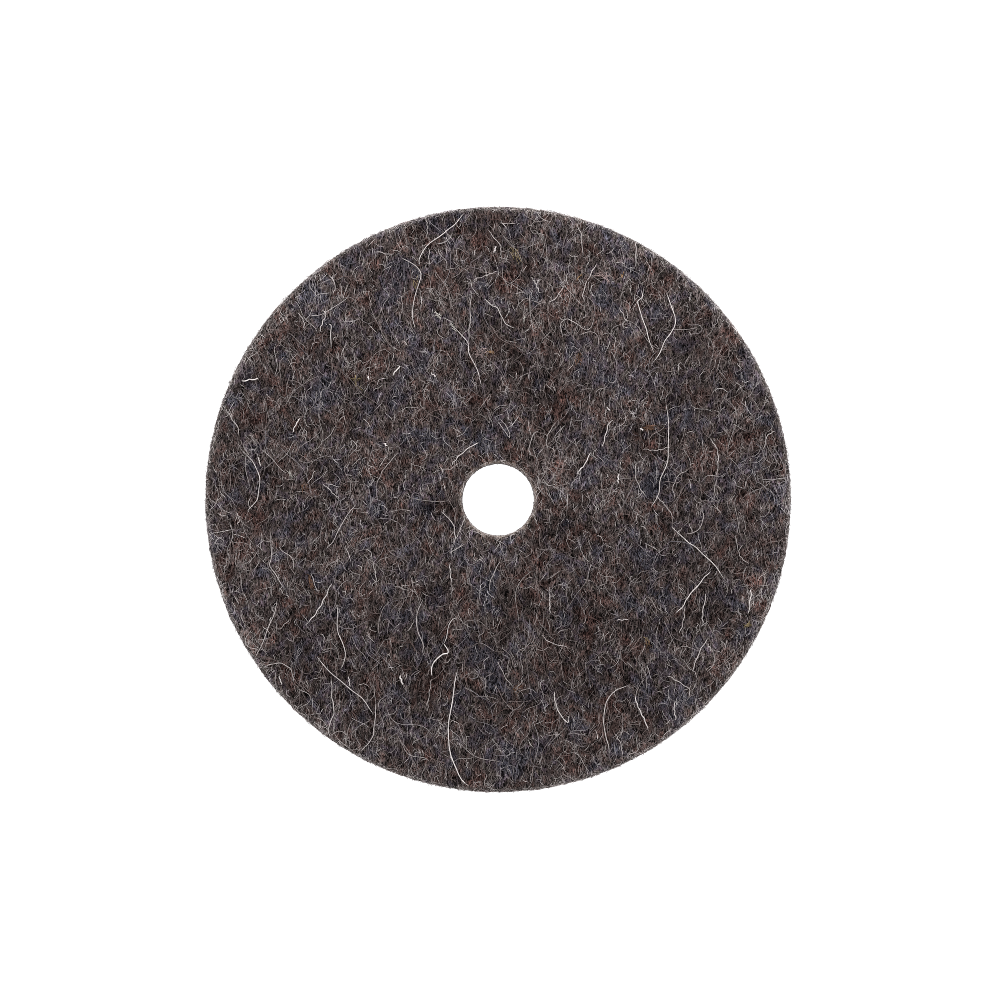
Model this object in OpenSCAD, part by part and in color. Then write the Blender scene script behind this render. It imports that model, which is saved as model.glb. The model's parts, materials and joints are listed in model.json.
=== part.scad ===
// Felt polishing wheel: one disc, die-cut from a thick sheet of pressed grey wool felt,
// with a round hole through the middle for a tool arbor.
// Millimetres. The origin is the centre of the wheel, which spins about the Y axis.
// The front face looks along -Y, and Z is up.

/* [Disc] */
// Diameter over the cut rim
disc_d = 101.6; // [75:0.1:150]
// Thickness from face to face
disc_t = 12.7; // [6:0.1:25]
// Radius of the soft corner that the cutting die leaves round the rim
rim_corner = 0.8; // [0.3:0.1:2]

/* [Arbor hole] */
// Diameter of the arbor hole
bore_d = 12.7; // [6:0.1:25.4]
// Radius of the soft corner round each mouth of the arbor hole
bore_corner = 0.6; // [0.2:0.1:1]

/* [Hidden] */

// Grey-brown of the mixed undyed and dyed wool
felt_grey = [76 / 255, 68 / 255, 67 / 255];

// Straight steps that stand for each quarter circle of a soft corner
corner_steps = 6;

rim_r = disc_d / 2;
bore_r = bore_d / 2;
half_t = disc_t / 2;

// Points of a quarter circle of radius r about [x, y], which starts at from_angle and turns anticlockwise
function quarter(x, y, r, from_angle) = [
    for (i = [0 : corner_steps])
        let (a = from_angle + 90 * i / corner_steps)
        [x + r * cos(a), y + r * sin(a)]
];

// Half section of the disc: x runs out from the axis and y runs through the thickness
module half_section() {
    polygon(concat(
        quarter(rim_r - rim_corner, half_t - rim_corner, rim_corner, 0),
        quarter(bore_r + bore_corner, half_t - bore_corner, bore_corner, 90),
        quarter(bore_r + bore_corner, bore_corner - half_t, bore_corner, 180),
        quarter(rim_r - rim_corner, rim_corner - half_t, rim_corner, 270)
    ));
}

// The whole wheel: the half section turned once about Z, then laid over so that its axis is Y
module felt_disc() {
    color(felt_grey)
        rotate([90, 0, 0])
            rotate_extrude($fn = 180)
                half_section();
}

felt_disc();
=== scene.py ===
"""Felt polishing wheel: a disc die-cut from pressed recycled wool, and the fibres that lie and stand on it.

The wheel turns about Y, its front face looks along -Y and Z is up. Lengths are in metres.
"""
import json
import logging
import math
from dataclasses import dataclass
from enum import Enum

import bpy
import numpy as np
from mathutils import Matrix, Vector


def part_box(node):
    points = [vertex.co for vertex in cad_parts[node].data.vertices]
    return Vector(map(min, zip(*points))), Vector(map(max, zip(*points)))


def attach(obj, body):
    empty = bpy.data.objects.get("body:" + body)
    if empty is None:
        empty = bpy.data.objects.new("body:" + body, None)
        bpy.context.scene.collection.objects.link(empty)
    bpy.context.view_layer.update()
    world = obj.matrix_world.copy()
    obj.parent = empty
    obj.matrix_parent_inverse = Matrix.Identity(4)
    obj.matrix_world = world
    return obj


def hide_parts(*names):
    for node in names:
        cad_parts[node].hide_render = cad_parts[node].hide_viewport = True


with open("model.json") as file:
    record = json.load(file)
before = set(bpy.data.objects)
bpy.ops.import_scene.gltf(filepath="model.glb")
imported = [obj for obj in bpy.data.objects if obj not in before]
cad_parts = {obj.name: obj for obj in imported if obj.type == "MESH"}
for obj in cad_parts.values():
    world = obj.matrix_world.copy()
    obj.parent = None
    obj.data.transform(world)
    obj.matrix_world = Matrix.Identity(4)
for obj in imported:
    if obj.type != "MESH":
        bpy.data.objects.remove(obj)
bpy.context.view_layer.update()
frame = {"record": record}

MM = 0.001
BODY = "root"
TRIANGLE = 3
TIPS = 2
PALE_SEED_STEP = 8
WISP_SEED_STEP = 9

log = logging.getLogger("felt_wheel")
Colour = tuple[float, float, float]
Stop = tuple[float, Colour]


def grey(value: float) -> Colour:
    """A colour with three equal parts."""
    return (value, value, value)


class Side(Enum):
    """The four sides of the wheel."""

    FRONT = "front"
    BACK = "back"
    RIM = "rim"
    BORE = "bore"


@dataclass(frozen=True)
class WheelSize:
    """Sizes of the wheel, which the frame drives."""

    rim_radius: float
    bore_radius: float
    half_thickness: float
    bore_corner: float
    rim_corner: float = 0.8 * MM

    @classmethod
    def from_frame(cls) -> "WheelSize":
        """Reads the disc's box and the arbor hole's mount from the frame.

        Returns:
            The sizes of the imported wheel.
        """
        low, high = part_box("felt_disc")
        hole = next(m for m in frame["record"]["mounts"] if m["name"] == "arbor_hole")["dims"]
        half_thickness = (high[1] - low[1]) / 2
        corner = half_thickness - hole["length_mm"] * MM / 2
        return cls((high[0] - low[0]) / 2, hole["r_mm"] * MM, half_thickness, corner)


@dataclass(frozen=True)
class Field:
    """A smooth random value over space: its middle wavelength, its strength and the seed of its waves."""

    wavelength: float
    strength: float
    seed: int
    waves: int = 36
    spread: tuple[float, float] = (0.6, 1.8)

    def at(self, points: np.ndarray) -> np.ndarray:
        """Sum of sine waves in random directions, scaled to a mean of 0 and a deviation of the strength.

        Args:
            points: Places, with x, y and z last.

        Returns:
            One value per place.
        """
        rng = np.random.default_rng(self.seed)
        heading = rng.normal(size=(self.waves, 3))
        heading /= np.linalg.norm(heading, axis=1, keepdims=True)
        reach = 2 * np.pi / (self.wavelength * rng.uniform(*self.spread, self.waves))
        phase = rng.uniform(0, 2 * np.pi, self.waves)
        total = np.zeros(points.shape[:-1])
        for direction, offset in zip(heading * reach[:, None], phase):
            total += np.sin(points @ direction + offset)
        return self.strength * total * math.sqrt(2 / self.waves)


@dataclass(frozen=True)
class Relief:
    """Lumps of the felt: broad pressed waves and small tufts, which fade to a share at the cut edges."""

    broad: Field = Field(9 * MM, 0.035 * MM, 11)
    tufts: Field = Field(2.6 * MM, 0.035 * MM, 12)
    edge_share: float = 0.25
    edge_reach: float = 1.5 * MM

    def at(self, points: np.ndarray, size: WheelSize) -> np.ndarray:
        """Height of the felt over the plain disc: the sum of both fields, times a ramp in from the edges.

        Args:
            points: Places on the plain disc.
            size: Sizes of the wheel.

        Returns:
            How far the felt stands proud at each place.
        """
        inside = np.minimum(*edge_distances(points, size)) / self.edge_reach
        calm = self.edge_share + (1 - self.edge_share) * np.clip(inside, 0, 1)
        return calm * (self.broad.at(points) + self.tufts.at(points))


def edge_distances(points: np.ndarray, size: WheelSize) -> tuple[np.ndarray, np.ndarray]:
    """Distance in from the rim and out from the hole: differences of radii about the wheel's axis.

    Args:
        points: Places on the disc.
        size: Sizes of the wheel.

    Returns:
        Distance to the rim and distance to the hole.
    """
    radius = np.hypot(points[..., 0], points[..., 2])
    return size.rim_radius - radius, radius - size.bore_radius


def corner_drop(beyond: np.ndarray, radius: float) -> np.ndarray:
    """Fall of a round corner: the radius less the height of a quarter circle at that distance out.

    Args:
        beyond: Distance past the start of the corner, which may be negative.
        radius: Radius of the corner.

    Returns:
        How far the surface has fallen there, 0 before the corner.
    """
    out = np.clip(beyond, 0, radius)
    return radius - np.sqrt(radius**2 - out**2)


@dataclass(frozen=True)
class Skin:
    """One side of the wheel laid flat: two distances in the surface, and a height above it."""

    size: WheelSize
    side: Side

    @property
    def is_face(self) -> bool:
        """True on the two flat faces."""
        return self.side in (Side.FRONT, Side.BACK)

    @property
    def radius(self) -> float:
        """Radius of the round wall that this side is."""
        return self.size.rim_radius if self.side is Side.RIM else self.size.bore_radius

    @property
    def outward(self) -> float:
        """Sign of the outward direction: against Y on the front, and towards the axis in the hole."""
        return -1.0 if self.side in (Side.FRONT, Side.BORE) else 1.0

    def scatter(self, count: int, rng: np.random.Generator) -> tuple[np.ndarray, np.ndarray]:
        """Even random places: on a face the radius is the root of an even draw over squared radii.

        Args:
            count: How many places.
            rng: Source of the draws.

        Returns:
            The distances across and along the side.
        """
        turn = rng.uniform(0, 2 * np.pi, count)
        if self.is_face:
            low, high = self.size.bore_radius, self.size.rim_radius
            radius = np.sqrt(rng.uniform(low**2, high**2, count))
            return radius * np.cos(turn), radius * np.sin(turn)
        half = self.size.half_thickness
        return turn * self.radius, rng.uniform(-half, half, count)

    def holds(self, across: np.ndarray, along: np.ndarray) -> np.ndarray:
        """True where a place lies on the side.

        Args:
            across: Distance across the side.
            along: Distance along the side.

        Returns:
            One answer per place.
        """
        if self.is_face:
            radius = np.hypot(across, along)
            return (radius > self.size.bore_radius) & (radius < self.size.rim_radius)
        return np.abs(along) < self.size.half_thickness

    def normal(self, across: np.ndarray) -> np.ndarray:
        """Outward direction: along Y on a face, and along the radius at that turn on a round wall."""
        if self.is_face:
            return np.stack([0 * across, self.outward + 0 * across, 0 * across], -1)
        turn = across / self.radius
        return self.outward * np.stack([np.cos(turn), 0 * turn, np.sin(turn)], -1)

    def place(self, across: np.ndarray, along: np.ndarray, height: np.ndarray) -> np.ndarray:
        """Point in space: the plain side less its corner's fall, pushed out by the relief and the height.

        Args:
            across: Distance across the side.
            along: Distance along the side.
            height: Height over the felt.

        Returns:
            Points, with x, y and z last.
        """
        size = self.size
        if self.is_face:
            radius = np.hypot(across, along)
            fall = corner_drop(radius - size.rim_radius + size.rim_corner, size.rim_corner)
            fall = fall + corner_drop(size.bore_radius + size.bore_corner - radius, size.bore_corner)
            level = size.half_thickness - fall
            plain = np.stack([across, self.outward * level, along], -1)
        else:
            corner = size.rim_corner if self.side is Side.RIM else size.bore_corner
            fall = corner_drop(np.abs(along) - size.half_thickness + corner, corner)
            turn = across / self.radius
            level = self.radius - self.outward * fall
            plain = np.stack([level * np.cos(turn), along, level * np.sin(turn)], -1)
        return plain + self.normal(across) * (RELIEF.at(plain, size) + height)[..., None]


def make_mesh(name: str, points: np.ndarray, corners: np.ndarray) -> bpy.types.Object:
    """Puts whole arrays of points and faces into a new smooth piece.

    Args:
        name: Name of the piece.
        points: Points, one row each.
        corners: Point numbers of each face, one row each.

    Returns:
        The new piece, at the origin.
    """
    mesh = bpy.data.meshes.new(name)
    faces, sides = corners.shape
    mesh.vertices.add(len(points))
    mesh.vertices.foreach_set("co", points.astype(np.float32).ravel())
    mesh.loops.add(faces * sides)
    mesh.loops.foreach_set("vertex_index", corners.astype(np.int32).ravel())
    mesh.polygons.add(faces)
    mesh.polygons.foreach_set("loop_start", np.arange(0, faces * sides, sides, dtype=np.int32))
    mesh.polygons.foreach_set("use_smooth", np.ones(faces, dtype=bool))
    mesh.update(calc_edges=True)
    mesh.validate()
    piece = bpy.data.objects.new(name, mesh)
    bpy.context.scene.collection.objects.link(piece)
    return piece


def mark(piece: bpy.types.Object, name: str, values: np.ndarray) -> None:
    """Writes one number per point of a piece under a name.

    Args:
        piece: The piece.
        name: Name of the attribute.
        values: One number per point.
    """
    attribute = piece.data.attributes.new(name, "FLOAT", "POINT")
    attribute.data.foreach_set("value", values.astype(np.float32).ravel())


def tube_corners(stations: int, sides: int) -> np.ndarray:
    """Triangles of one closed fibre: a fan to each pointed tip, and two for each side of each link.

    Points are numbered tip, tip, then the rings in order from the first tip.

    Args:
        stations: Points along the fibre, tips included.
        sides: Points in each ring.

    Returns:
        Point numbers, three for each triangle.
    """
    here = np.arange(sides)
    after = (here + 1) % sides
    links = stations - TIPS - 1
    first, last = TIPS, TIPS + links * sides
    parts = [np.stack([0 * here, first + after, first + here], -1)]
    for ring in range(links):
        low, high = first + ring * sides, first + (ring + 1) * sides
        parts.append(np.stack([low + here, low + after, high + after], -1))
        parts.append(np.stack([low + here, high + after, high + here], -1))
    parts.append(np.stack([0 * here + 1, last + here, last + after], -1))
    return np.concatenate(parts)


def tube_points(paths: np.ndarray, radii: np.ndarray, sides: int, up: np.ndarray) -> np.ndarray:
    """Points of closed fibres: rings square to the path, each ring a turn of the radius about it.

    Args:
        paths: Points of the paths, as fibre, station and x, y, z.
        radii: Radius of each fibre, or of each fibre at each station.
        sides: Points in each ring.
        up: A direction that no path follows, for each fibre.

    Returns:
        Points as fibre, point and x, y, z, in the order that tube_corners numbers them.
    """
    ahead = np.gradient(paths, axis=1)
    ahead /= np.linalg.norm(ahead, axis=-1, keepdims=True)
    side = np.cross(ahead, np.broadcast_to(up[:, None], paths.shape))
    side /= np.linalg.norm(side, axis=-1, keepdims=True)
    above = np.cross(side, ahead)
    turn = np.arange(sides) * 2 * np.pi / sides
    beside = np.cross(ahead, above)
    across = above[:, :, None] * np.cos(turn)[:, None] + beside[:, :, None] * np.sin(turn)[:, None]
    width = np.broadcast_to(radii if radii.ndim == 2 else radii[:, None], paths.shape[:2])
    rings = paths[:, 1:-1, None] + across[:, 1:-1] * width[:, 1:-1, None, None]
    return np.concatenate([paths[:, [0, -1]], rings.reshape(len(paths), -1, 3)], 1)


class NodeBench:
    """Adds the nodes of one material and wires them."""

    def __init__(self, name: str) -> None:
        """Starts an empty material with one shader.

        Args:
            name: Name of the material.
        """
        self.material = bpy.data.materials.new(name)
        self.material.use_nodes = True
        self.tree = self.material.node_tree
        self.shader = next(n for n in self.tree.nodes if n.type == "BSDF_PRINCIPLED")

    def wire(self, source: bpy.types.NodeSocket, target: bpy.types.NodeSocket) -> None:
        """Joins an output to an input."""
        self.tree.links.new(source, target)

    def ramp(self, value: bpy.types.NodeSocket, stops: tuple[Stop, ...]) -> bpy.types.NodeSocket:
        """Turns a number into a colour through evenly blended stops.

        Args:
            value: The number, from 0 to 1.
            stops: Places and colours.

        Returns:
            The colour output.
        """
        node = self.tree.nodes.new("ShaderNodeValToRGB")
        elements = node.color_ramp.elements
        while len(elements) < len(stops):
            elements.new(0.5)
        for element, (place, colour) in zip(elements, stops):
            element.position = place
            element.color = (*colour, 1)
        self.wire(value, node.inputs["Fac"])
        return node.outputs["Color"]

    def attribute(self, name: str) -> bpy.types.NodeSocket:
        """Reads one of the piece's own numbers."""
        node = self.tree.nodes.new("ShaderNodeAttribute")
        node.attribute_name = name
        return node.outputs["Fac"]

    def noise(self, stretch: float, turn: float, scale: float, detail: float = 2.0) -> bpy.types.NodeSocket:
        """Cloudy pattern in the wheel's own space, drawn out along Z and turned about Y.

        Args:
            stretch: Scale along Z after turning, of which less than 1 draws the pattern out.
            turn: Angle about Y, in radians.
            scale: Patches per metre.
            detail: Number of finer layers.

        Returns:
            The number output.
        """
        place = self.tree.nodes.new("ShaderNodeTexCoord")
        turned = self.tree.nodes.new("ShaderNodeMapping")
        turned.inputs["Rotation"].default_value = (0, turn, 0)
        turned.inputs["Scale"].default_value = (1, 1, stretch)
        cloud = self.tree.nodes.new("ShaderNodeTexNoise")
        cloud.inputs["Scale"].default_value = scale
        cloud.inputs["Detail"].default_value = detail
        self.wire(place.outputs["Object"], turned.inputs["Vector"])
        self.wire(turned.outputs["Vector"], cloud.inputs["Vector"])
        return cloud.outputs["Fac"]

    def blend(self, kind: str, one: bpy.types.NodeSocket, two: bpy.types.NodeSocket,
              share: bpy.types.NodeSocket | None = None) -> bpy.types.NodeSocket:
        """Blends two colours, fully or by a share.

        Args:
            kind: Way of blending, such as MULTIPLY or LIGHTEN.
            one: First colour.
            two: Second colour.
            share: How much of the blend is taken, or None for all of it.

        Returns:
            The blended colour.
        """
        node = self.tree.nodes.new("ShaderNodeMixRGB")
        node.blend_type = kind
        node.inputs["Fac"].default_value = 1.0
        if share is not None:
            self.wire(share, node.inputs["Fac"])
        self.wire(one, node.inputs["Color1"])
        self.wire(two, node.inputs["Color2"])
        return node.outputs["Color"]

    def palest(self, streaks: list[bpy.types.NodeSocket], limits: tuple[float, float], gap_shade: Colour,
               strand: Colour) -> bpy.types.NodeSocket:
        """Lays several streak patterns over each other, the palest on top.

        Args:
            streaks: The patterns' numbers.
            limits: Numbers at which a gap ends and a strand begins.
            gap_shade: Colour of the gaps, painted shade between the strands.
            strand: Colour of the strands.

        Returns:
            The colour output.
        """
        layers = [self.ramp(streak, ((limits[0], gap_shade), (limits[1], strand))) for streak in streaks]
        top = layers[0]
        for layer in layers[1:]:
            top = self.blend("LIGHTEN", top, layer)
        return top

    def dress(self, colour: bpy.types.NodeSocket, roughness: float, gloss: float) -> bpy.types.Material:
        """Wires the colour to the shader and sets its two constants.

        Args:
            colour: The surface's colour.
            roughness: Roughness of the surface.
            gloss: Strength of its highlights.

        Returns:
            The finished material.
        """
        self.wire(colour, self.shader.inputs["Base Color"])
        self.shader.inputs["Roughness"].default_value = roughness
        self.shader.inputs["Specular IOR Level"].default_value = gloss
        return self.material


# Dyes of the recycled wool, in the order of the dye number: each multiplies the wool's own shade.
DYES: tuple[Stop, ...] = (
    (0.00, (1.30, 0.89, 0.79)),
    (0.12, (1.12, 0.95, 0.88)),
    (0.32, (1.03, 0.99, 0.95)),
    (0.46, (1.00, 1.00, 1.01)),
    (0.60, (0.97, 1.025, 0.895)),
    (0.74, (1.03, 0.955, 1.12)),
    (0.88, (0.94, 0.98, 1.22)),
    (1.00, (0.81, 1.02, 1.31)),
)
BORE_DYE = 0.12
RIM_DYE = 0.60


@dataclass(frozen=True)
class WoolFinish:
    """Finish of loose wool: a shade for each fibre, tinted by its dye and mottled along its length."""

    name: str
    darkest: Colour = (0.0030, 0.0015, 0.0015)
    middle: Colour = (0.106, 0.0835, 0.0822)
    palest: Colour = (0.565, 0.525, 0.516)
    middle_shade: float = 0.45
    dye_taken: tuple[Stop, ...] = ((0.15, grey(1)), (0.42, grey(0.6)), (0.68, grey(0.1)))
    mottle_per_metre: float = 1400.0
    mottle: tuple[Stop, ...] = ((0.3, grey(0.72)), (0.7, grey(1.25)))
    roughness: float = 0.85
    gloss: float = 0.03

    def build(self) -> bpy.types.Material:
        """Makes the material: dark fibres take all of their dye and pale ones hardly any.

        Returns:
            A material that reads the fibres' own shade and dye.
        """
        bench = NodeBench(self.name)
        number = bench.attribute("shade")
        shade = bench.ramp(number, ((0, self.darkest), (self.middle_shade, self.middle), (1, self.palest)))
        dye = bench.ramp(bench.attribute("dye"), DYES)
        dyed = bench.blend("MULTIPLY", shade, dye, bench.ramp(number, self.dye_taken))
        mottle = bench.ramp(bench.noise(1.0, 0.0, self.mottle_per_metre), self.mottle)
        return bench.dress(bench.blend("MULTIPLY", dyed, mottle), self.roughness, self.gloss)


@dataclass(frozen=True)
class GroundFinish:
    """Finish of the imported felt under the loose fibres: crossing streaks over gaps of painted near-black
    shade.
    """

    name: str = "packed_felt"
    # The near-black between the strands is painted shade, not the wool's own colour.
    gap_shade: Colour = (0.0012, 0.0007, 0.0007)
    strand: Colour = (0.090, 0.0705, 0.0695)
    # Paler edge colours: partly fraying, partly painted light at the lips.
    rim_wear_and_light_colour: Colour = (0.25, 0.24, 0.225)
    bore_wear_and_light_colour: Colour = (0.42, 0.35, 0.29)
    # edge_gap: share of the edge colour left in its gaps, which are painted shade.
    edge_gap: float = 0.10
    strand_range: tuple[float, float] = (0.54, 0.67)
    edge_range: tuple[float, float] = (0.44, 0.62)
    streaks_per_metre: float = 7000.0
    streak_turns: tuple[float, ...] = (0.0, 0.7, -0.6)
    streak_stretch: float = 0.28
    cloud_and_rim_light_tones: tuple[Stop, ...] = ((0.30, grey(0.35)), (0.5, grey(0.95)), (0.70, grey(1.75)))
    tufts_per_metre: float = 1500.0
    tuft_stretch: float = 0.55
    tufts: tuple[Stop, ...] = ((0.36, grey(0.35)), (0.64, grey(1.65)))
    bump_height: float = 0.12 * MM
    roughness: float = 0.95
    gloss: float = 0.02

    def build(self) -> bpy.types.Material:
        """Makes the material.

        Returns:
            A material with crossing streaks over painted gap shade, clumps of dye, paler edges that are
            partly worn and partly painted light, painted shade down the hole, and a fibrous bump.
        """
        bench = NodeBench(self.name)
        stretch, scale = self.streak_stretch, self.streaks_per_metre
        streaks = [bench.noise(stretch, turn, scale) for turn in self.streak_turns]
        strands = bench.palest(streaks, self.strand_range, self.gap_shade, self.strand)
        felt = bench.blend("MULTIPLY", strands, bench.ramp(bench.attribute("dye"), DYES))
        # The cloud attribute holds the felt's random tone plus the painted rim light.
        felt = bench.blend("MULTIPLY", felt, bench.ramp(bench.attribute("cloud"), self.cloud_and_rim_light_tones))
        # Paler edges: partly fraying, partly painted light at the lips, and painted shade down the hole.
        for edge, colour in (("rim_wear_and_light", self.rim_wear_and_light_colour), ("bore_wear_light_and_shade", self.bore_wear_and_light_colour)):
            # The edge's gaps are painted shade too: a tenth of the edge colour.
            edge_gap_shade = tuple(self.edge_gap * channel for channel in colour)
            wear_and_light = bench.palest(streaks[::2], self.edge_range, edge_gap_shade, colour)
            felt = bench.blend("MIX", felt, wear_and_light, bench.attribute(edge))
        tufts = bench.ramp(bench.noise(self.tuft_stretch, 0.0, self.tufts_per_metre), self.tufts)
        bump = bench.tree.nodes.new("ShaderNodeBump")
        bump.inputs["Distance"].default_value = self.bump_height
        bench.wire(streaks[0], bump.inputs["Height"])
        bench.wire(bump.outputs["Normal"], bench.shader.inputs["Normal"])
        return bench.dress(bench.blend("MULTIPLY", felt, tufts), self.roughness, self.gloss)


def settle(piece: bpy.types.Object, material: bpy.types.Material) -> None:
    """Dresses a piece, lets it ride on the wheel's body, and reports it.

    Args:
        piece: The piece.
        material: Its finish.
    """
    piece.data.materials.append(material)
    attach(piece, BODY)
    triangles = len(piece.data.loops) - 2 * len(piece.data.polygons)
    log.info("%s: %d triangles", piece.name, triangles)


@dataclass
class FeltBody:
    """The pressed felt itself: a ring section with soft corners, carried once round the axis."""

    size: WheelSize
    turns: int = 420
    face_rows: int = 50
    wall_rows: int = 11
    corner_rows: int = 5
    plain_cloud: float = 0.5

    def section(self) -> tuple[np.ndarray, np.ndarray]:
        """Outline of the ring's section: four straight runs joined by quarter circles.

        Each corner is its centre plus its radius times the cosine and sine of the angle swept. Each straight
        run joins one corner to the next, in steps that a cosine crowds at both ends.

        Returns:
            Radius and height through the thickness of each point, and the outward direction there.
        """
        size = self.size
        corners = (
            (size.rim_radius, 1, size.half_thickness, 1, size.rim_corner, 0.0),
            (size.bore_radius, -1, size.half_thickness, 1, size.bore_corner, 0.5 * np.pi),
            (size.bore_radius, -1, size.half_thickness, -1, size.bore_corner, np.pi),
            (size.rim_radius, 1, size.half_thickness, -1, size.rim_corner, 1.5 * np.pi),
        )
        arcs, facings = [], []
        for radius, out, half, up, corner, start in corners:
            sweep = start + np.linspace(0, 0.5 * np.pi, self.corner_rows)
            facing = np.stack([np.cos(sweep), np.sin(sweep)], -1)
            centre = np.array([radius - out * corner, up * (half - corner)])
            arcs.append(centre + corner * facing)
            facings.append(facing)
        points, normals = [], []
        for index, rows in enumerate((self.face_rows, self.wall_rows, self.face_rows, self.wall_rows)):
            share = (1 - np.cos(np.pi * np.linspace(0, 1, rows + 2)[1:-1, None])) / 2
            start, end = arcs[index][-1], arcs[(index + 1) % len(arcs)][0]
            points += [arcs[index], start + share * (end - start)]
            normals += [facings[index], np.broadcast_to(facings[index][-1], (rows, 2))]
        return np.concatenate(points), np.concatenate(normals)

    def build(self, material: bpy.types.Material) -> bpy.types.Object:
        """Turns the section round Y, pushes each point out by the relief, and closes both ways.

        Args:
            material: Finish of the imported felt.

        Returns:
            The body, which stands for the CAD disc.
        """
        outline, facing = self.section()
        turn = np.linspace(0, 2 * np.pi, self.turns, endpoint=False)[:, None]
        cosine, sine = np.cos(turn), np.sin(turn)
        flat = 0 * turn
        points = np.stack([cosine * outline[:, 0], flat + outline[:, 1], sine * outline[:, 0]], -1)
        normal = np.stack([cosine * facing[:, 0], flat + facing[:, 1], sine * facing[:, 0]], -1)
        points = points + normal * RELIEF.at(points, self.size)[..., None]
        rows = len(outline)
        here = np.arange(self.turns)[:, None] * rows
        there = (np.arange(self.turns)[:, None] + 1) % self.turns * rows
        low = np.arange(rows)[None]
        high = (low + 1) % rows
        corners = np.stack([here + low, here + high, there + high, there + low], -1)
        body = make_mesh("felt_body", points.reshape(-1, 3), corners.reshape(-1, 4))
        # Marks the edges' wear, painted light and painted shade for the material.
        for edge, wear_and_light in zip(("rim_wear_and_light", "bore_wear_light_and_shade"), EDGE_WEAR_LIGHT_AND_SHADE.at(points, self.size)):
            mark(body, edge, wear_and_light)
        # The cloud attribute holds the felt's random tone plus the painted rim light.
        mark(body, "cloud", self.plain_cloud + CLOUDS_AND_PAINTED_EDGE_LIGHT.at(points, self.size))
        mark(body, "dye", DYE_CLUMPS.at(points, np.zeros(points.shape[:-1]), self.size))
        settle(body, material)
        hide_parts("felt_disc")
        return body


@dataclass(frozen=True)
class EdgeWearLightAndShade:
    """Paler cut corners: partly fraying where the die has broken the fibres, partly painted light, and
    painted shade down the hole.
    """

    lip_depth: float = 0.32 * MM
    down_reach: float = 0.30 * MM
    rim_most: float = 0.45
    rim_reach: float = 0.34 * MM
    bore_most: float = 0.70
    bore_wall: float = 0.08
    bore_reach: float = 0.24 * MM

    def at(self, points: np.ndarray, size: WheelSize) -> tuple[np.ndarray, np.ndarray]:
        """Wear and painted light are most at a lip, and fall as exponentials across the face and down the
        wall; down the hole's wall the fall is painted shade.

        The hole's wall keeps an even share of its own all the way through.

        Args:
            points: Places on or near the felt.
            size: Sizes of the wheel.

        Returns:
            Wear and painted light near the rim, and wear, painted light and painted shade near the hole, from
            0 to 1.
        """
        to_rim, to_bore = edge_distances(points, size)
        depth = size.half_thickness - np.abs(points[..., 1]) - self.lip_depth
        down = np.exp(-np.maximum(depth, 0) / self.down_reach)
        # Paler lips: partly fraying, partly painted light; lower on the hole's wall, painted shade deeper in
        # the hole.
        rim = self.rim_most * down * np.exp(-np.maximum(to_rim, 0) / self.rim_reach)
        bore = (self.bore_wall + self.bore_most * down) * np.exp(-np.maximum(to_bore, 0) / self.bore_reach)
        return rim, bore


@dataclass(frozen=True)
class DyeClumps:
    """Dyes of the felt: clumps of two sizes, drawn to one dye at the rim and another at the hole."""

    broad: Field = Field(5.5 * MM, 0.86, 31)
    small: Field = Field(2.6 * MM, 1.02, 32)
    steepness: float = 1.6

    def at(self, points: np.ndarray, stray: np.ndarray, size: WheelSize) -> np.ndarray:
        """Dye number: both fields through a logistic curve, whose tails are the rare dyes, plus the stray.

        The mask of each edge's wear and painted light then draws the number towards that edge's own dye.

        Args:
            points: Middle of each fibre.
            stray: How far each fibre's dye strays from its clump's.
            size: Sizes of the wheel.

        Returns:
            Dye numbers from 0 to 1.
        """
        clump = self.broad.at(points) + self.small.at(points)
        dye = np.clip(1 / (1 + np.exp(-self.steepness * clump)) + stray, 0, 1)
        for wear_and_light, own in zip(EDGE_WEAR_LIGHT_AND_SHADE.at(points, size), (RIM_DYE, BORE_DYE)):
            dye = dye + wear_and_light * (own - dye)
        return dye


@dataclass(frozen=True)
class CloudsAndPaintedEdgeLight:
    """Paler and darker clouds in the felt, a broad paler border inside the rim that is painted light, and
    paler lips that are partly worn and partly painted light.
    """

    broad: Field = Field(22 * MM, 0.030, 230)
    middle: Field = Field(8 * MM, 0.036, 42)
    small: Field = Field(3 * MM, 0.036, 43)
    tufts: Field = Field(1.2 * MM, 0.047, 44)
    painted_rim_light: float = 0.075
    painted_rim_light_reach: float = 2.6 * MM
    rim_pale: float = 0.52
    bore_pale: float = 0.40

    def at(self, points: np.ndarray, size: WheelSize) -> np.ndarray:
        """Tone of the felt: three smooth fields, plus painted rim light, a border that falls as an
        exponential of the distance.

        Args:
            points: Places on or near the felt.
            size: Sizes of the wheel.

        Returns:
            What is added to the felt's shade.
        """
        cloud = self.broad.at(points) + self.middle.at(points) + self.small.at(points)
        inward = np.maximum(edge_distances(points, size)[0], 0)
        # The border is painted light: the rim lit from the bright surroundings behind it.
        return cloud + self.painted_rim_light * np.exp(-inward / self.painted_rim_light_reach)

    def on_fibres(self, points: np.ndarray, size: WheelSize) -> np.ndarray:
        """Tone of the loose fibres: the felt's own, plus a fourth and finest field and the paler lips, partly
        worn and partly painted light.

        Args:
            points: Middle of each fibre.
            size: Sizes of the wheel.

        Returns:
            What is added to each fibre's shade.
        """
        rim, bore = EDGE_WEAR_LIGHT_AND_SHADE.at(points, size)
        # rim_pale and bore_pale lighten fibres at the lips: partly wear, partly painted light, and painted
        # shade deeper in the hole.
        return self.at(points, size) + self.tufts.at(points) + self.rim_pale * rim + self.bore_pale * bore


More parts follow.
